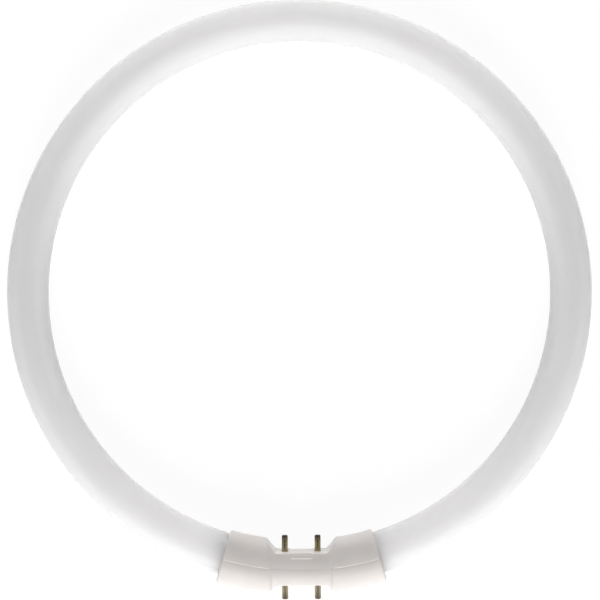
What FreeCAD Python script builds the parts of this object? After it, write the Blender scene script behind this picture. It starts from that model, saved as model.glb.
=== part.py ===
import FreeCAD, Part
import math
import os

# Circular fluorescent tube: a ring of glass tube whose two sealed ends meet in a moulded four-pin cap.
# Millimetres. The ring lies flat in the XY plane with its axis on +Z, and the cap is on the -Y side.
# Angles round the ring are measured at its centre, from the middle of the cap towards +X.

# Glass tube
RING_RADIUS = 105.2       # ring axis to the middle of the tube
TUBE_RADIUS = 8.0
STRAIGHT_END = 21.3       # unbent length at each end of the tube
END_GAP = 32.0            # across the cap, between the middles of the two end faces
END_ROUND = 2.0           # rounded shoulder of each sealed end
FUNNEL_RADIUS = 5.0       # mouth of the stem's funnel in the end face
FUNNEL_DEPTH = 4.0
STEM_RADIUS = 3.4         # floor of the funnel, where the lead wires come out
EXHAUST_RADIUS = 1.3      # sealed-off exhaust tube in the middle of the funnel
EXHAUST_LENGTH = 5.5

# Cap, moulded in an inner and an outer half
CAP_OFFSET = 1.3          # the cap's middle line lies this far outside the tube's
CAP_LENGTH = 61.4         # along the cap's middle line, mouth to mouth
CAP_WALL = 2.05           # outer half's section, beyond the radius of the bore
PROUD_STEP = 0.3          # the inner half stands proud of the outer half
PARTING_OFFSET = 0.2      # the halves meet this far inside the cap's middle line
PARTING_ROUND = 0.4       # rounded edge of the inner half along the parting line
MOUTH_ROUND_INNER = 0.9
MOUTH_ROUND_OUTER = 1.0
TUBE_FIT = 0.15           # between the tube and its bore, all round
END_FIT = 0.3             # between the tube's end face and the bottom of its bore

# Neck between the cap's two round wings
NECK_LENGTH = 22.2
NECK_STEP = 1.5           # the neck is smaller in radius than the inner half by this
NECK_SLOPE = 45.0         # degrees, of the bevel from the neck up to a wing
NECK_SHELL = 1.8          # wall of the neck and of the pin floors

# Recesses with flat floors for the pins
FLOOR_SPACING = 12.4      # between the inner and the outer pin floor
FLOOR_WIDTH = 19.6
RECESS_SLOPE = 52.0       # degrees, of the recess's flanks
NOTCH_WIDTH = 8.1         # latch notches in the two edges of the inner pin floor
NOTCH_DEPTH = 1.8
NOTCH_RIB = 6.2           # left standing between the two notches
NOTCH_WALL = 1.2          # between a notch and the wiring chamber beside it

# Pins and lead wires
PIN_SPACING = 12.7
PIN_RADIUS = 1.175
PIN_LENGTH = 6.2          # above the pin floor
PIN_TIP_ROUND = 0.5
PIN_END_WALL = 1.3        # solid tip beyond the pin's bore
SHANK_RADIUS = 1.4        # thicker part of the pin that sits in the floor
SHANK_FIT = 0.05
FLANGE_RADIUS = 1.9       # stops the pin behind the floor
FLANGE_HEIGHT = 0.8
FLANGE_FIT = 0.15
CRIMP_BACK = 1.1          # dent that grips the wire, back from the pin's tip
CRIMP_RADIUS = 0.6
CRIMP_DEPTH = 0.25
WIRE_RADIUS = 0.3
WIRE_FIT = 0.1            # in the pin's bore, and short of the bore's end
WIRE_OFFSET = 2.35        # from the tube's middle line, where a wire leaves the stem
WIRE_BEND = 1.8           # middle-line radius of a wire's bends
WIRE_TURN = 3.0           # behind the pin floor's wall, where a wire turns into its pin

# Sizes that follow from those above
end_reach = math.hypot(RING_RADIUS, STRAIGHT_END)
bend_end = math.atan2(STRAIGHT_END, RING_RADIUS) + math.asin(END_GAP / 2 / end_reach)
cap_radius = RING_RADIUS + CAP_OFFSET
cap_half_angle = CAP_LENGTH / 2 / cap_radius
parting_radius = cap_radius - PARTING_OFFSET
bore_radius = TUBE_RADIUS + TUBE_FIT
outer_section = bore_radius + CAP_WALL
inner_section = outer_section + PROUD_STEP
neck_radius = inner_section - NECK_STEP
neck_y = -(cap_radius + math.sqrt(cap_radius ** 2 - (NECK_LENGTH / 2) ** 2)) / 2
inner_floor_y = -cap_radius + FLOOR_SPACING / 2
outer_floor_y = -cap_radius - FLOOR_SPACING / 2
pin_bore_radius = WIRE_RADIUS + WIRE_FIT
pin_bore_end = PIN_LENGTH - PIN_END_WALL
arc_middle = 1 - math.sqrt(0.5)  # how far a rounded corner's middle lies in from its two sides, per radius

Vector = FreeCAD.Vector
ORIGIN = Vector(0, 0, 0)
RIGHT = Vector(1, 0, 0)
UP = Vector(0, 0, 1)

# The straight end of the tube on the +X side
bend_point = Vector(math.sin(bend_end), -math.cos(bend_end), 0) * RING_RADIUS
end_direction = Vector(-math.cos(bend_end), -math.sin(bend_end), 0)
towards_centre = Vector(-math.sin(bend_end), math.cos(bend_end), 0)
end_centre = bend_point + end_direction * STRAIGHT_END


def profile(start, *steps):
    """A closed face in the XZ plane. A step is an end point, or an arc's middle and end points."""
    edges = []
    first = Vector(start[0], 0, start[1])
    here = first
    for step in steps:
        points = step if isinstance(step[0], tuple) else (step,)
        points = [Vector(x, 0, z) for x, z in points]
        curve = Part.Arc if len(points) == 2 else Part.LineSegment
        edges.append(curve(here, *points).toShape())
        here = points[-1]
    if not here.isEqual(first, 1e-6):
        edges.append(Part.LineSegment(here, first).toShape())
    return Part.Face(Part.Wire(edges))


def set_at(shape, base, direction):
    """The shape moved from the origin to a base point, with its Z along a direction."""
    shape.Placement = FreeCAD.Placement(base, FreeCAD.Rotation(UP, direction))
    return shape


def turned(face, base=ORIGIN, direction=UP):
    """The solid that a profile sweeps about its own Z, set at a base point along a direction."""
    return set_at(face.revolve(ORIGIN, UP, 360), base, direction)


def prism(points, low, high):
    """An upright solid on a polygon of the XY plane."""
    corners = [Vector(x, y, low) for x, y in points]
    face = Part.Face(Part.makePolygon(corners + corners[:1]))
    return face.extrude(UP * (high - low))


def slab(x_low, x_high, y_low, y_high, z_low, z_high):
    return prism([(x_low, y_low), (x_high, y_low), (x_high, y_high), (x_low, y_high)], z_low, z_high)


def other_side(shape):
    """The same shape on the -X side."""
    return shape.mirror(ORIGIN, RIGHT)


def tube_end():
    """Straight end of the tube: rounded shoulder, stem funnel and sealed-off exhaust tube."""
    shoulder = END_ROUND * arc_middle
    funnel_floor = STRAIGHT_END - FUNNEL_DEPTH
    tip = funnel_floor + EXHAUST_LENGTH
    return turned(profile(
        (0, 0),
        (TUBE_RADIUS, 0),
        (TUBE_RADIUS, STRAIGHT_END - END_ROUND),
        ((TUBE_RADIUS - shoulder, STRAIGHT_END - shoulder), (TUBE_RADIUS - END_ROUND, STRAIGHT_END)),
        (FUNNEL_RADIUS, STRAIGHT_END),
        (STEM_RADIUS, funnel_floor),
        (EXHAUST_RADIUS, funnel_floor),
        (EXHAUST_RADIUS, tip - EXHAUST_RADIUS),
        ((EXHAUST_RADIUS * (1 - arc_middle), tip - EXHAUST_RADIUS * arc_middle), (0, tip)),
    ), bend_point, end_direction)


def glass_tube():
    """The bent ring, open towards the cap, with its two straight ends."""
    section = Part.Face(Part.Wire(Part.makeCircle(TUBE_RADIUS, bend_point, end_direction)))
    ring = section.revolve(ORIGIN, UP, 360 - 2 * math.degrees(bend_end))
    end = tube_end()
    return ring.fuse([end, other_side(end)])


def along_cap(face):
    """A section of the cap, swept round the ring from the cap's middle to its mouth on the +X side."""
    face.rotate(ORIGIN, UP, -90)
    return face.revolve(ORIGIN, UP, math.degrees(cap_half_angle))


def round_mouth(form, radius):
    """Rounds the outer edge of the mouth."""
    ends = [face for face in form.Faces if isinstance(face.Surface, Part.Plane)]
    mouth = max(ends, key=lambda face: face.CenterOfMass.x)
    return form.makeFillet(radius, [edge for edge in mouth.Edges if isinstance(edge.Curve, Part.Circle)])


def round_parting(form, radius):
    """Rounds the edges along the parting line."""
    parting = next(face for face in form.Faces if isinstance(face.Surface, Part.Cylinder))
    return form.makeFillet(radius, [edge for edge in parting.Edges if isinstance(edge.Curve, Part.Circle)])


def half_form(section_radius, side):
    """Round section of the cap on the inner (-1) or outer (1) side of the parting line."""
    height = math.sqrt(section_radius ** 2 - PARTING_OFFSET ** 2)
    return along_cap(profile(
        (parting_radius, -height),
        (parting_radius, height),
        ((cap_radius + side * section_radius, 0), (parting_radius, -height)),
    ))


def inner_form():
    return round_parting(round_mouth(half_form(inner_section, -1), MOUTH_ROUND_INNER), PARTING_ROUND)


def outer_form():
    return round_mouth(half_form(outer_section, 1), MOUTH_ROUND_OUTER)


def waist():
    """A straight round neck that opens by a bevel on each side, to leave the wings whole."""
    reach = CAP_LENGTH
    rise = (reach - NECK_LENGTH / 2) * math.tan(math.radians(NECK_SLOPE))
    return turned(profile(
        (0, -reach),
        (neck_radius + rise, -reach),
        (neck_radius, -NECK_LENGTH / 2),
        (neck_radius, NECK_LENGTH / 2),
        (neck_radius + rise, reach),
        (0, reach),
    ), Vector(0, neck_y, 0), RIGHT)


def recess(floor_y, outwards):
    """Trapezoid cut with a flat floor for two pins, open to the side that the pins point to."""
    depth = 2 * inner_section
    half = FLOOR_WIDTH / 2
    spread = depth / math.tan(math.radians(RECESS_SLOPE))
    top_y = floor_y + outwards * depth
    outline = [(-half, floor_y), (half, floor_y), (half + spread, top_y), (-half - spread, top_y)]
    return prism(outline, -depth, depth)


def notch():
    """Latch notch in the front edge of the inner pin floor."""
    half = NOTCH_WIDTH / 2
    low, high = inner_floor_y - NOTCH_DEPTH, inner_floor_y + NOTCH_DEPTH
    return slab(-half, half, low, high, NOTCH_RIB / 2, inner_section)


def tube_bore():
    """Straight bore for the tube's end on the +X side, out through the mouth."""
    bottom = end_centre + end_direction * END_FIT
    return Part.makeCylinder(bore_radius, CAP_LENGTH, bottom, end_direction * -1)


def wiring_chamber():
    """Hollow of the neck on the +X side, from the middle web to the bore of the tube."""
    web = NOTCH_WIDTH / 2 + NOTCH_WALL
    reach = END_GAP / 2 + END_ROUND
    hollow = Part.makeCylinder(neck_radius - NECK_SHELL, reach - web, Vector(web, neck_y, 0), RIGHT)
    low, high = outer_floor_y + NECK_SHELL, inner_floor_y - NECK_SHELL
    return hollow.common(slab(web, reach, low, high, -neck_radius, neck_radius))


def pin_seat(floor_y, outwards):
    """Hole through a pin floor on the +X side, with a pocket for the pin's flange behind it."""
    along = Vector(0, outwards, 0)
    foot = Vector(PIN_SPACING / 2, floor_y, 0)
    behind = foot - along * NECK_SHELL
    hole = Part.makeCylinder(SHANK_RADIUS + SHANK_FIT, 2 * NECK_SHELL, behind, along)
    pocket = Part.makeCylinder(FLANGE_RADIUS + FLANGE_FIT, FLOOR_SPACING, behind, along * -1)
    return [hole, pocket]


def cap_half(form, floor_y, outwards, more_cuts=()):
    """One half of the cap, cut on the +X side of its form and then mirrored to the -X side."""
    cuts = [recess(floor_y, outwards), tube_bore(), wiring_chamber()] + pin_seat(floor_y, outwards)
    side = form.common(waist())
    for cut in cuts + list(more_cuts):
        side = side.cut(cut)
    return side.fuse(other_side(side)).removeSplitter()


def cap_inner_half():
    front = notch()
    back = front.mirror(ORIGIN, UP)
    return cap_half(inner_form(), inner_floor_y, 1, [front, back])


def cap_outer_half():
    return cap_half(outer_form(), outer_floor_y, -1)


def pin(floor_y, outwards):
    """Hollow pin on the +X side: shank in the floor, flange behind it and a crimp near the tip."""
    flange_top = -NECK_SHELL
    flange_base = flange_top - FLANGE_HEIGHT
    tip = PIN_TIP_ROUND * arc_middle
    body = turned(profile(
        (pin_bore_radius, flange_base),
        (FLANGE_RADIUS, flange_base),
        (FLANGE_RADIUS, flange_top),
        (SHANK_RADIUS, flange_top),
        (SHANK_RADIUS, 0),
        (PIN_RADIUS, 0),
        (PIN_RADIUS, PIN_LENGTH - PIN_TIP_ROUND),
        ((PIN_RADIUS - tip, PIN_LENGTH - tip), (PIN_RADIUS - PIN_TIP_ROUND, PIN_LENGTH)),
        (0, PIN_LENGTH),
        (0, pin_bore_end),
        (pin_bore_radius, pin_bore_end),
    ))
    dent_height = PIN_RADIUS + CRIMP_RADIUS - CRIMP_DEPTH
    dent = Part.makeSphere(CRIMP_RADIUS, Vector(0, -outwards * dent_height, PIN_LENGTH - CRIMP_BACK))
    return set_at(body.cut(dent), Vector(PIN_SPACING / 2, floor_y, 0), Vector(0, outwards, 0))


def bent_path(points, radius):
    """Straight runs between the points, joined by tangent arcs of one radius."""
    edges = []
    here = points[0]
    for before, corner, after in zip(points, points[1:], points[2:]):
        back = (before - corner).normalize()
        onward = (after - corner).normalize()
        inside = (back + onward).normalize()
        half_turn = (math.pi - back.getAngle(onward)) / 2
        reach = radius * math.tan(half_turn)
        middle = corner + inside * (radius / math.cos(half_turn) - radius)
        start, end = corner + back * reach, corner + onward * reach
        edges.append(Part.LineSegment(here, start).toShape())
        edges.append(Part.Arc(start, middle, end).toShape())
        here = end
    edges.append(Part.LineSegment(here, points[-1]).toShape())
    return Part.Wire(edges)


def lead_wire(floor_y, outwards):
    """Wire on the +X side from the tube's stem, through the wiring chamber, into one pin."""
    beside = towards_centre * (outwards * WIRE_OFFSET)
    along = Vector(0, outwards, 0)
    foot = Vector(PIN_SPACING / 2, floor_y, 0)
    stem = end_centre - end_direction * FUNNEL_DEPTH + beside
    points = [
        stem,
        end_centre + beside,
        foot - along * (NECK_SHELL + WIRE_TURN),
        foot + along * (pin_bore_end - WIRE_FIT),
    ]
    section = Part.Wire(Part.makeCircle(WIRE_RADIUS, stem, end_direction))
    return bent_path(points, WIRE_BEND).makePipeShell([section], True, True)


nodes = {
    "glass_tube": glass_tube(),
    "cap_inner_half": cap_inner_half(),
    "cap_outer_half": cap_outer_half(),
}
for row, floor_y, outwards in (("inner", inner_floor_y, 1), ("outer", outer_floor_y, -1)):
    row_pin = pin(floor_y, outwards)
    row_wire = lead_wire(floor_y, outwards)
    nodes[row + "_pin_right"] = row_pin
    nodes[row + "_pin_left"] = other_side(row_pin)
    nodes[row + "_lead_wire_right"] = row_wire
    nodes[row + "_lead_wire_left"] = other_side(row_wire)

os.makedirs("parts", exist_ok=True)
for name, shape in nodes.items():
    shape.exportStep(os.path.join("parts", name + ".step"))
    print(name, shape.ShapeType, len(shape.Solids), shape.isValid(), round(shape.Volume, 2))
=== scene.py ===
import math

import bmesh
import bpy
from mathutils import Matrix, Vector


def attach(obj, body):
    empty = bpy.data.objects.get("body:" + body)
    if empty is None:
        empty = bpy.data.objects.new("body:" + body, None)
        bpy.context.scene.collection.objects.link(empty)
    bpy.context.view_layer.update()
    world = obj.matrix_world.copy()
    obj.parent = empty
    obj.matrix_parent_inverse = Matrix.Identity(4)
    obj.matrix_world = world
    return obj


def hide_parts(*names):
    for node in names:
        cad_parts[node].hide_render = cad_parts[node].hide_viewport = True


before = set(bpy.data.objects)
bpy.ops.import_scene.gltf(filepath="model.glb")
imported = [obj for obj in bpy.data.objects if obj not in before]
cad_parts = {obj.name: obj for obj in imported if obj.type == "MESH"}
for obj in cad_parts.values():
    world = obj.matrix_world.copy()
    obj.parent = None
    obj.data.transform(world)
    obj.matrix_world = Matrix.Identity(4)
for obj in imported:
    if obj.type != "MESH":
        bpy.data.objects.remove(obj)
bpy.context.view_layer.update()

MM = 0.001
UP = Vector((0, 0, 1))

# Glass tube, in millimetres. Angles are measured at the ring's centre from the middle of the cap.
RING_RADIUS = 105.2
TUBE_RADIUS = 8.0
STRAIGHT_END = 21.3
END_GAP = 32.0
END_ROUND = 2.0
FUNNEL_RADIUS = 5.0
FUNNEL_DEPTH = 4.0
STEM_RADIUS = 3.4
EXHAUST_RADIUS = 1.3
EXHAUST_LENGTH = 5.5
TUBE_SIDES = 80
ARC_POINTS = 320

# Cap, in millimetres
CAP_MIDDLE_Y = -106.5
FLOOR_SPACING = 12.4      # between the inner and the outer pin floor
PARTING_RADIUS = 106.3    # ring axis to where the two halves meet
PARTING_EDGE = 0.25       # width beside the parting line that stays crisp
MOULD_VOXEL = 0.13        # finest form that the moulded halves keep
MOULD_SOFTENING = 3       # passes that round their other edges
MOULD_FACES_KEPT = 0.2
NOTCH_WIDTH = 8.1         # latch notches in the two edges of the inner pin floor
NOTCH_DEPTH = 1.8
NOTCH_RIB = 6.2           # left standing between the two notches
NOTCH_FLOOR = 8.0         # radius of a notch's rounded floor, about the neck's axis
NOTCH_JOIN = 0.3          # what fills a notch reaches this far into its walls
NOTCH_STEPS = 12          # facets of its rounded floor

# Contact pins, in millimetres along the pin from its floor
PIN_SPACING = 12.7
PIN_RADIUS = 1.175
PIN_LENGTH = 6.2
PIN_TIP_ROUND = 0.5
PIN_END_WALL = 1.3
PIN_BORE_RADIUS = 0.4
SHANK_RADIUS = 1.4
SHANK_LENGTH = 1.8
FLANGE_RADIUS = 1.9
FLANGE_HEIGHT = 0.8
CRIMP_BACK = 1.1
CRIMP_RADIUS = 0.6
CRIMP_DEPTH = 0.25
TIP_SHADE_LENGTH = 3.0            # painted shade: the pin darkens over this length towards its tip
PIN_SIDES = 64
PIN_STEP = 0.1            # between rings of vertices, fine enough for the crimp

# Where the part rests: the cap is thicker than the tube, so the floor tilts to touch both
CAP_BOTTOM = -10.48
CAP_REST_Y = -101.6
TUBE_BOTTOM = -8.0
FLOOR_REACH = 3000        # from the middle of the floor to its sides

# White room round the part: degrees above the horizon, and how bright its ceiling is
WALL_TOP = 35
CEILING_EDGE = 60
CEILING = 0.2

# Camera: place and focal length in millimetres, turn in degrees
CAMERA_PLACE = Vector((0.2, -3.1, 600))
CAMERA_TURN = -0.4
FOCAL_LENGTH = 92.9
SENSOR_WIDTH = 36

bend_end = math.atan2(STRAIGHT_END, RING_RADIUS) + math.asin(
    END_GAP / 2 / math.hypot(RING_RADIUS, STRAIGHT_END))


def add(tree, kind, inputs=None, **settings):
    """Adds a node with its settings. An input takes a value, or a link from another node's output."""
    node = tree.nodes.new(kind)
    for name, value in settings.items():
        setattr(node, name, value)
    for key, value in (inputs or {}).items():
        if isinstance(value, bpy.types.NodeSocket):
            tree.links.new(value, node.inputs[key])
        else:
            node.inputs[key].default_value = value
    return node


def linear(hex_code):
    """An sRGB hex colour as linear RGBA."""
    parts = [int(hex_code[i:i + 2], 16) / 255 for i in (1, 3, 5)]
    return [c / 12.92 if c <= 0.04045 else ((c + 0.055) / 1.055) ** 2.4 for c in parts] + [1.0]


def per_mm(size):
    """Texture scale whose features are about this many millimetres wide."""
    return 1 / (size * MM)


def empty_material(name):
    material = bpy.data.materials.new(name)
    material.use_nodes = True
    material.node_tree.nodes.clear()
    return material, material.node_tree


# Materials

def coated_glass():
    """Drawn soda-lime glass with a baked white powder inside it: milky and glowing in the shade, glossy outside."""
    material, tree = empty_material("Powder-coated soda-lime glass")
    place = add(tree, "ShaderNodeTexCoord").outputs["Object"]
    # The powder is washed down the tube as a slurry, so it dries in faint broad clouds.
    clouds = add(tree, "ShaderNodeTexNoise", {"Vector": place, "Scale": per_mm(28), "Detail": 3.0})
    # Powder grain, drawn at 0.6 mm so that it shows at all.
    grain = add(tree, "ShaderNodeTexNoise", {"Vector": place, "Scale": per_mm(0.6), "Detail": 1.0})
    tint = add(tree, "ShaderNodeMix", {
        "Factor": clouds.outputs["Fac"], "A": linear("#F8F5F5"), "B": linear("#F1EDED"),
    }, data_type="RGBA")
    # Glass drawn and then bent while hot is very slightly wavy.
    waves = add(tree, "ShaderNodeTexNoise", {"Vector": place, "Scale": per_mm(16), "Detail": 1.0})
    bump = add(tree, "ShaderNodeBump", {"Height": waves.outputs["Fac"], "Strength": 0.25, "Distance": 0.08 * MM})
    gloss = add(tree, "ShaderNodeMapRange", {
        "Value": grain.outputs["Fac"], "To Min": 0.14, "To Max": 0.22,
    })
    shader = add(tree, "ShaderNodeBsdfPrincipled", {
        "Base Color": tint.outputs["Result"],
        "Roughness": gloss.outputs["Result"],
        "Normal": bump.outputs["Normal"],
        "IOR": 1.52,
        "Subsurface Weight": 0.9,
        "Subsurface Radius": (1.0, 0.98, 0.96),
        "Subsurface Scale": 40.0 * MM,
    })
    add(tree, "ShaderNodeOutputMaterial", {"Surface": shader.outputs["BSDF"]})
    return material


def moulded_plastic():
    """White PBT from a spark-eroded mould: satin, with a very fine grain and hardly any colour of its own."""
    material, tree = empty_material("Moulded white PBT")
    place = add(tree, "ShaderNodeTexCoord").outputs["Object"]
    flow = add(tree, "ShaderNodeTexNoise", {"Vector": place, "Scale": per_mm(9), "Detail": 2.0})
    tint = add(tree, "ShaderNodeMix", {
        "Factor": flow.outputs["Fac"], "A": linear("#E8E3E0"), "B": linear("#E0DBD7"),
    }, data_type="RGBA")
    # Eroded grain, drawn at 0.35 mm so that it shows at all.
    grain = add(tree, "ShaderNodeTexNoise", {"Vector": place, "Scale": per_mm(0.35), "Detail": 2.0})
    bump = add(tree, "ShaderNodeBump", {"Height": grain.outputs["Fac"], "Strength": 0.2, "Distance": 0.03 * MM})
    gloss = add(tree, "ShaderNodeMapRange", {
        "Value": grain.outputs["Fac"], "To Min": 0.3, "To Max": 0.42,
    })
    shader = add(tree, "ShaderNodeBsdfPrincipled", {
        "Base Color": tint.outputs["Result"],
        "Roughness": gloss.outputs["Result"],
        "Normal": bump.outputs["Normal"],
        "IOR": 1.54,
        "Subsurface Weight": 0.25,
        "Subsurface Radius": (1.0, 0.95, 0.9),
        "Subsurface Scale": 0.6 * MM,
    })
    add(tree, "ShaderNodeOutputMaterial", {"Surface": shader.outputs["BSDF"]})
    return material


def drawn_brass(name, bare, tarnished, smoothest, roughest):
    """Brass tube drawn through a die and left bare: fine lines along the pin, dull olive where it has tarnished."""
    material, tree = empty_material(name)
    place = add(tree, "ShaderNodeTexCoord").outputs["Object"]
    tarnish = add(tree, "ShaderNodeTexNoise", {"Vector": place, "Scale": per_mm(1.6), "Detail": 4.0})
    # Drawing lines run along the pins, which lie along Y; drawn 0.2 mm apart so that they show.
    along = add(tree, "ShaderNodeMapping", {"Vector": place, "Scale": (1, 0.04, 1)})
    lines = add(tree, "ShaderNodeTexNoise", {
        "Vector": along.outputs["Vector"], "Scale": per_mm(0.2), "Detail": 2.0,
    })
    tint = add(tree, "ShaderNodeMix", {
        "Factor": tarnish.outputs["Fac"], "A": linear(bare), "B": linear(tarnished),
    }, data_type="RGBA")
    # Painted shade: the pin's colour darkens towards its tip, read from the vertex layer "tip".
    tip = add(tree, "ShaderNodeAttribute", attribute_name="tip")
    shaded_tip_colour = add(tree, "ShaderNodeMix", {
        "Factor": tip.outputs["Fac"], "A": tint.outputs["Result"], "B": linear("#403C36"),
    }, data_type="RGBA")
    gloss = add(tree, "ShaderNodeMapRange", {
        "Value": tarnish.outputs["Fac"], "To Min": smoothest, "To Max": roughest,
    })
    bump = add(tree, "ShaderNodeBump", {"Height": lines.outputs["Fac"], "Strength": 0.3, "Distance": 0.03 * MM})
    shader = add(tree, "ShaderNodeBsdfPrincipled", {
        "Base Color": shaded_tip_colour.outputs["Result"],
        "Metallic": 1.0,
        "Roughness": gloss.outputs["Result"],
        "Normal": bump.outputs["Normal"],
    })
    add(tree, "ShaderNodeOutputMaterial", {"Surface": shader.outputs["BSDF"]})
    return material


def nickel_wire():
    """Nickel-plated lead wire: pale grey metal with fine lengthwise drawing marks."""
    material, tree = empty_material("Nickel-plated wire")
    place = add(tree, "ShaderNodeTexCoord").outputs["Object"]
    marks = add(tree, "ShaderNodeTexNoise", {"Vector": place, "Scale": per_mm(0.3), "Detail": 3.0})
    tint = add(tree, "ShaderNodeMix", {
        "Factor": marks.outputs["Fac"], "A": linear("#C6C2BA"), "B": linear("#A9A59C"),
    }, data_type="RGBA")
    gloss = add(tree, "ShaderNodeMapRange", {
        "Value": marks.outputs["Fac"], "To Min": 0.25, "To Max": 0.4,
    })
    shader = add(tree, "ShaderNodeBsdfPrincipled", {
        "Base Color": tint.outputs["Result"],
        "Metallic": 1.0,
        "Roughness": gloss.outputs["Result"],
    })
    add(tree, "ShaderNodeOutputMaterial", {"Surface": shader.outputs["BSDF"]})
    return material


def seen_directly(tree):
    """1 for rays from the camera and for reflected or transmitted ones, which see the plain white surroundings."""
    path = add(tree, "ShaderNodeLightPath").outputs
    first = add(tree, "ShaderNodeMath", {0: path["Is Camera Ray"], 1: path["Is Glossy Ray"]}, operation="MAXIMUM")
    both = add(tree, "ShaderNodeMath", {0: first.outputs[0], 1: path["Is Transmission Ray"]}, operation="MAXIMUM")
    return both.outputs[0]


def white_paper():
    """Studio paper: lit up to white where it is seen, with the object's shadow still on it."""
    material, tree = empty_material("White studio paper")
    bounce = add(tree, "ShaderNodeBsdfDiffuse", {"Color": linear("#F4F4F4")})
    glow = add(tree, "ShaderNodeEmission", {"Color": linear("#FFFFFF"), "Strength": 0.94})
    shade = add(tree, "ShaderNodeBsdfDiffuse", {"Color": linear("#585858")})
    seen = add(tree, "ShaderNodeAddShader", {0: glow.outputs[0], 1: shade.outputs[0]})
    mixed = add(tree, "ShaderNodeMixShader", {0: seen_directly(tree), 1: bounce.outputs[0], 2: seen.outputs[0]})
    add(tree, "ShaderNodeOutputMaterial", {"Surface": mixed.outputs[0]})
    return material


# Mesh helpers

def place_in_scene(name, mesh):
    piece = bpy.data.objects.new(name, mesh)
    bpy.context.scene.collection.objects.link(piece)
    return piece


def finished_mesh(piece):
    """The mesh that an object's modifiers give, as a plain mesh."""
    bpy.context.view_layer.update()
    graph = bpy.context.evaluated_depsgraph_get()
    return bpy.data.meshes.new_from_object(piece.evaluated_get(graph))


def lathe(form, profile, base, along, sides):
    """Turns (radius, height) points, in millimetres, about a line, and gives each vertex with its height."""
    beside = along.cross(UP).normalized()
    heights = {}
    before = None
    for radius, height in profile:
        middle = base + along * height
        if radius == 0:
            ring = [form.verts.new(middle * MM)]
        else:
            turns = [2 * math.pi * k / sides for k in range(sides)]
            spokes = [UP * math.cos(t) + beside * math.sin(t) for t in turns]
            ring = [form.verts.new((middle + spoke * radius) * MM) for spoke in spokes]
        heights.update((vertex, height) for vertex in ring)
        if before:
            for k in range(sides):
                corners = [before[k % len(before)], before[(k + 1) % sides % len(before)],
                           ring[(k + 1) % sides % len(ring)], ring[k % len(ring)]]
                form.faces.new(list(dict.fromkeys(corners)))
        before = ring
    return heights


def rounded(centre, radius, steps):
    """(radius, height) points of a quarter circle, from the outward direction to straight up."""
    angles = [math.radians(90 * k / steps) for k in range(steps + 1)]
    return [(max(0, centre[0] + radius * math.cos(a)), centre[1] + radius * math.sin(a)) for a in angles]


def smooth(mesh, sharp_above):
    """Smooth shading, except at edges that turn by more than this many degrees."""
    mesh.shade_smooth()
    mesh.set_sharp_from_angle(angle=math.radians(sharp_above))


def belongs(piece, node):
    """The piece stands for a solid of the part: it joins the root body, and the solid is hidden."""
    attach(piece, "root")
    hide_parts(node)


# Glass ring

def bent_tube_tree(material):
    """Node tree that sweeps a round section along the ring's arc and its two straight ends."""
    tree = bpy.data.node_groups.new("bent tube", "GeometryNodeTree")
    for name in ("Ring radius", "Tube radius", "Start angle", "Sweep angle", "Straight end"):
        tree.interface.new_socket(name, in_out="INPUT", socket_type="NodeSocketFloat")
    tree.interface.new_socket("Tube", in_out="OUTPUT", socket_type="NodeSocketGeometry")
    sizes = add(tree, "NodeGroupInput").outputs
    arc = add(tree, "GeometryNodeCurveArc", {
        "Resolution": ARC_POINTS,
        "Radius": sizes["Ring radius"],
        "Start Angle": sizes["Start angle"],
        "Sweep Angle": sizes["Sweep angle"],
    }, mode="RADIUS")
    runs = add(tree, "GeometryNodeJoinGeometry", {"Geometry": arc.outputs["Curve"]})
    last = add(tree, "ShaderNodeMath", {0: sizes["Start angle"], 1: sizes["Sweep angle"]}, operation="ADD")
    back = add(tree, "ShaderNodeMath", {0: sizes["Straight end"], 1: -1.0}, operation="MULTIPLY")
    for angle, reach in ((sizes["Start angle"], back.outputs[0]), (last.outputs[0], sizes["Straight end"])):
        bend = add(tree, "ShaderNodeCombineXYZ", {"X": sizes["Ring radius"]})
        end = add(tree, "ShaderNodeCombineXYZ", {"X": sizes["Ring radius"], "Y": reach})
        line = add(tree, "GeometryNodeCurvePrimitiveLine", {"Start": bend.outputs[0], "End": end.outputs[0]})
        turn = add(tree, "ShaderNodeCombineXYZ", {"Z": angle})
        turned = add(tree, "GeometryNodeTransform", {
            "Geometry": line.outputs["Curve"], "Rotation": turn.outputs[0],
        })
        tree.links.new(turned.outputs["Geometry"], runs.inputs["Geometry"])
    edges = add(tree, "GeometryNodeCurveToMesh", {"Curve": runs.outputs["Geometry"]})
    joined = add(tree, "GeometryNodeMergeByDistance", {"Geometry": edges.outputs["Mesh"], "Distance": 0.01 * MM})
    path = add(tree, "GeometryNodeMeshToCurve", {"Mesh": joined.outputs["Geometry"]})
    section = add(tree, "GeometryNodeCurvePrimitiveCircle", {
        "Resolution": TUBE_SIDES, "Radius": sizes["Tube radius"],
    })
    swept = add(tree, "GeometryNodeCurveToMesh", {
        "Curve": path.outputs["Curve"], "Profile Curve": section.outputs["Curve"],
    })
    real = add(tree, "GeometryNodeRealizeInstances", {"Geometry": swept.outputs["Mesh"]})
    coated = add(tree, "GeometryNodeSetMaterial", {"Geometry": real.outputs["Geometry"], "Material": material})
    add(tree, "NodeGroupOutput", {"Tube": coated.outputs["Geometry"]})
    return tree


def bent_tube_mesh(material):
    sizes = {
        "Ring radius": RING_RADIUS * MM,
        "Tube radius": TUBE_RADIUS * MM,
        "Start angle": bend_end - math.pi / 2,
        "Sweep angle": 2 * (math.pi - bend_end),
        "Straight end": (STRAIGHT_END - END_ROUND) * MM,
    }
    tree = bent_tube_tree(material)
    carrier = place_in_scene("bent tube", bpy.data.meshes.new("bent tube"))
    sweep = carrier.modifiers.new("bent tube", "NODES")
    sweep.node_group = tree
    for socket in tree.interface.items_tree:
        if socket.in_out == "INPUT":
            sweep[socket.identifier] = sizes[socket.name]
    mesh = finished_mesh(carrier)
    bpy.data.objects.remove(carrier)
    return mesh


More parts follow.
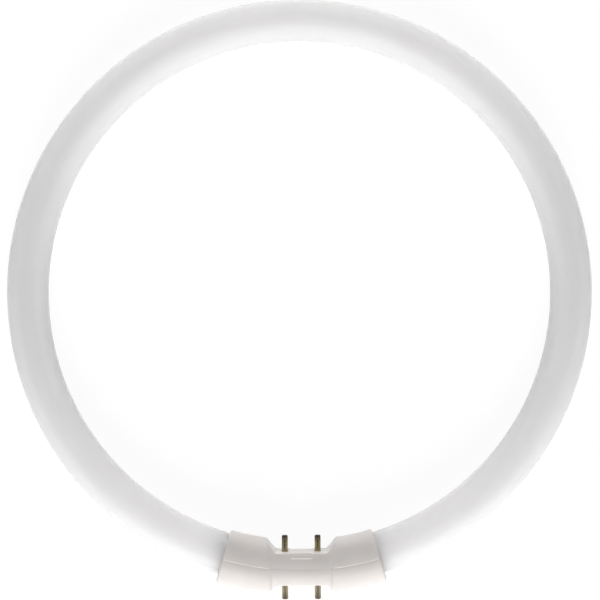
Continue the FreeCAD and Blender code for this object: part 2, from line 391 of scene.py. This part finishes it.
def sealed_end_profile():
    """Rounded shoulder, stem funnel and sealed-off exhaust tube, from the straight wall to the axis."""
    floor = STRAIGHT_END - FUNNEL_DEPTH
    tip = floor + EXHAUST_LENGTH
    shoulder = rounded((TUBE_RADIUS - END_ROUND, STRAIGHT_END - END_ROUND), END_ROUND, steps=10)
    nib = rounded((0, tip - EXHAUST_RADIUS), EXHAUST_RADIUS, steps=8)
    nib[-1] = (0, tip)
    return shoulder + [(FUNNEL_RADIUS, STRAIGHT_END), (STEM_RADIUS, floor), (EXHAUST_RADIUS, floor)] + nib


def glass_ring(material):
    mesh = bent_tube_mesh(material)
    form = bmesh.new()
    form.from_mesh(mesh)
    for side in (1, -1):
        bend_point = Vector((side * math.sin(bend_end), -math.cos(bend_end), 0)) * RING_RADIUS
        along = Vector((-side * math.cos(bend_end), -math.sin(bend_end), 0))
        lathe(form, sealed_end_profile(), bend_point, along, TUBE_SIDES)
    bmesh.ops.remove_doubles(form, verts=form.verts, dist=0.02 * MM)
    bmesh.ops.recalc_face_normals(form, faces=form.faces)
    form.to_mesh(mesh)
    form.free()
    smooth(mesh, sharp_above=40)
    piece = place_in_scene("glass_ring", mesh)
    belongs(piece, "glass_tube")


# Cap

def through_modifier(mesh, kind, **settings):
    """The mesh that one modifier makes of another mesh."""
    carrier = place_in_scene("blank", mesh)
    modifier = carrier.modifiers.new(kind, kind)
    for name, value in settings.items():
        setattr(modifier, name, value)
    made = finished_mesh(carrier)
    bpy.data.objects.remove(carrier)
    return made


def fill_notch(form, facing):
    """Fills a latch notch of the solid, in front (1) or behind (-1), up to a step that follows the neck's round."""
    half = NOTCH_WIDTH / 2 + NOTCH_JOIN
    high = CAP_MIDDLE_Y + FLOOR_SPACING / 2
    low = high - NOTCH_DEPTH - NOTCH_JOIN
    foot = NOTCH_RIB / 2 - NOTCH_JOIN
    across = [low + (high - low) * k / NOTCH_STEPS for k in range(NOTCH_STEPS + 1)]
    outline = [(y, math.sqrt(NOTCH_FLOOR ** 2 - (y - CAP_MIDDLE_Y) ** 2)) for y in across]
    outline += [(high, foot), (low, foot)]
    left, right = [
        [form.verts.new(Vector((x, y, facing * z)) * MM) for y, z in outline] for x in (-half, half)
    ]
    form.faces.new(left)
    form.faces.new(right)
    for k in range(len(outline)):
        form.faces.new((left[k - 1], left[k], right[k], right[k - 1]))


def moulded_half(name, node, material, notches=()):
    """A half of the cap with its edges softened, as a mould leaves them, except along the parting line."""
    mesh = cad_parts[node].data.copy()
    mesh.materials.clear()
    form = bmesh.new()
    form.from_mesh(mesh)
    bmesh.ops.remove_doubles(form, verts=form.verts, dist=0.001 * MM)
    for facing in notches:
        fill_notch(form, facing)
    form.to_mesh(mesh)
    form.free()
    mesh = through_modifier(mesh, "REMESH", mode="VOXEL", voxel_size=MOULD_VOXEL * MM)
    form = bmesh.new()
    form.from_mesh(mesh)
    soft = [v for v in form.verts if abs(v.co.xy.length - PARTING_RADIUS * MM) > PARTING_EDGE * MM]
    for _ in range(MOULD_SOFTENING):
        bmesh.ops.smooth_vert(form, verts=soft, factor=0.5, use_axis_x=True, use_axis_y=True, use_axis_z=True)
    form.to_mesh(mesh)
    form.free()
    mesh = through_modifier(mesh, "DECIMATE", ratio=MOULD_FACES_KEPT)
    mesh.shade_smooth()
    mesh.materials.append(material)
    piece = place_in_scene(name, mesh)
    belongs(piece, node)


# Contact pins

def pin_profile():
    """Outline of a hollow pin from the end of its bore, round its flange and shank, to its tip."""
    flange_base = -SHANK_LENGTH - FLANGE_HEIGHT
    wall_end = PIN_LENGTH - PIN_TIP_ROUND
    bore_end = PIN_LENGTH - PIN_END_WALL
    steps = round(wall_end / PIN_STEP)
    wall = [(PIN_RADIUS, wall_end * k / steps) for k in range(steps)]
    tip = rounded((PIN_RADIUS - PIN_TIP_ROUND, wall_end), PIN_TIP_ROUND, steps=6)
    return [
        (0, bore_end),
        (PIN_BORE_RADIUS, bore_end),
        (PIN_BORE_RADIUS, flange_base),
        (FLANGE_RADIUS, flange_base),
        (FLANGE_RADIUS, -SHANK_LENGTH),
        (SHANK_RADIUS, -SHANK_LENGTH),
        (SHANK_RADIUS, 0),
    ] + wall + tip + [(0, PIN_LENGTH)]


def contact_pin(row, side, painted_tip_shade, material):
    """A pin whose tip is darkened by this share of painted shade."""
    outwards = 1 if row == "inner" else -1
    foot = Vector((
        PIN_SPACING / 2 * (1 if side == "right" else -1),
        CAP_MIDDLE_Y + outwards * FLOOR_SPACING / 2,
        0,
    ))
    along = Vector((0, outwards, 0))
    form = bmesh.new()
    # Painted shade, stored per vertex in the layer "tip"
    shade_per_vertex = form.verts.layers.float.new("tip")
    heights = lathe(form, pin_profile(), foot, along, PIN_SIDES)
    dent = (foot + along * (PIN_LENGTH - CRIMP_BACK) + UP * (PIN_RADIUS + CRIMP_RADIUS - CRIMP_DEPTH)) * MM
    for vertex, height in heights.items():
        # painted shade rises towards the tip
        vertex[shade_per_vertex] = painted_tip_shade * min(1.0, max(0.0, 1 - (PIN_LENGTH - height) / TIP_SHADE_LENGTH))
        sunk = (CRIMP_RADIUS * MM) ** 2 - (vertex.co.x - dent.x) ** 2 - (vertex.co.y - dent.y) ** 2
        if sunk > 0 and vertex.co.z > 0 and vertex.co.z > dent.z - math.sqrt(sunk):
            vertex.co.z = dent.z - math.sqrt(sunk)
    bmesh.ops.recalc_face_normals(form, faces=form.faces)
    mesh = bpy.data.meshes.new(f"contact_pin_{row}_{side}")
    form.to_mesh(mesh)
    form.free()
    smooth(mesh, sharp_above=35)
    mesh.materials.append(material)
    piece = place_in_scene(mesh.name, mesh)
    belongs(piece, f"{row}_pin_{side}")


# The object

glass_ring(coated_glass())
plastic = moulded_plastic()
moulded_half("cap_inner_shell", "cap_inner_half", plastic, notches=(1, -1))
moulded_half("cap_outer_shell", "cap_outer_half", plastic)
nickel = nickel_wire()
# The inner pins are yellower and shinier, the outer ones greyer and duller. All get painted shade towards the tip,
# the outer ones less.
brass = {
    "inner": drawn_brass("Drawn brass", "#B6AB85", "#8A8369", 0.2, 0.34),
    "outer": drawn_brass("Drawn dull brass", "#C8BFA2", "#9E967E", 0.44, 0.58),
}
for row, painted_tip_shade in (("inner", 1.0), ("outer", 0.7)):
    for side in ("left", "right"):
        contact_pin(row, side, painted_tip_shade, brass[row])
        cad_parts[f"{row}_lead_wire_{side}"].data.materials[0] = nickel


# Floor, light and camera

def paper_floor():
    """A sheet of paper under the cap and the far side of the ring, the two places that the part rests on."""
    tilt = math.atan2(TUBE_BOTTOM - CAP_BOTTOM, RING_RADIUS - CAP_REST_Y)
    mesh = bpy.data.meshes.new("floor")
    form = bmesh.new()
    bmesh.ops.create_grid(form, x_segments=1, y_segments=1, size=FLOOR_REACH * MM)
    form.to_mesh(mesh)
    form.free()
    mesh.transform(Matrix.Rotation(tilt, 4, "X"))
    mesh.transform(Matrix.Translation(Vector((0, 0, CAP_BOTTOM - CAP_REST_Y * math.tan(tilt))) * MM))
    mesh.materials.append(white_paper())
    floor = place_in_scene("floor", mesh)


def softbox(name, place, width, height, level):
    """A soft lamp that faces the ring's centre. A level of 1 lights a white surface there to about full white."""
    lamp = bpy.data.lights.new(name, "AREA")
    lamp.shape = "RECTANGLE"
    lamp.size = width
    lamp.size_y = height
    lamp.energy = level * math.pi ** 2 * place.length_squared
    stand = bpy.data.objects.new(name, lamp)
    stand.location = place
    stand.rotation_euler = place.to_track_quat("Z", "Y").to_euler()
    stand.visible_glossy = False
    bpy.context.scene.collection.objects.link(stand)


def white_room(level):
    """Even light from all round. Seen directly or in a reflection, its walls are white and its ceiling is dim."""
    world = bpy.data.worlds.new("white room")
    world.use_nodes = True
    tree = world.node_tree
    tree.nodes.clear()
    direction = add(tree, "ShaderNodeSeparateXYZ", {0: add(tree, "ShaderNodeTexCoord").outputs["Generated"]})
    seen = add(tree, "ShaderNodeMapRange", {
        "Value": direction.outputs["Z"],
        "From Min": math.sin(math.radians(WALL_TOP)),
        "From Max": math.sin(math.radians(CEILING_EDGE)),
        "To Min": 1.0,
        "To Max": CEILING,
    }, interpolation_type="SMOOTHSTEP")
    strength = add(tree, "ShaderNodeMix", {0: seen_directly(tree), 2: level, 3: seen.outputs["Result"]})
    walls = add(tree, "ShaderNodeBackground", {"Color": linear("#FFFFFF"), "Strength": strength.outputs[0]})
    add(tree, "ShaderNodeOutputWorld", {"Surface": walls.outputs[0]})
    bpy.context.scene.world = world


def camera():
    """Straight above the ring, framed a little towards the cap, as in the photograph."""
    lens = bpy.data.cameras.new("camera")
    lens.sensor_width = SENSOR_WIDTH
    lens.lens = FOCAL_LENGTH
    eye = bpy.data.objects.new("camera", lens)
    eye.location = CAMERA_PLACE * MM
    eye.rotation_euler = (0, 0, math.radians(CAMERA_TURN))
    bpy.context.scene.collection.objects.link(eye)
    bpy.context.scene.camera = eye


paper_floor()
softbox("front softbox", Vector((0, -1.5, 1.0)), 1.0, 0.9, 1.02)
softbox("back softbox", Vector((0, 1.79, 0.19)), 1.5, 0.3, 0.74)
softbox("left softbox", Vector((-1.76, 0, 0.37)), 0.9, 0.6, 0.12)
softbox("right softbox", Vector((1.76, 0, 0.37)), 0.9, 0.6, 0.12)
white_room(0.08)
camera()
bpy.context.scene.view_settings.view_transform = "Standard"
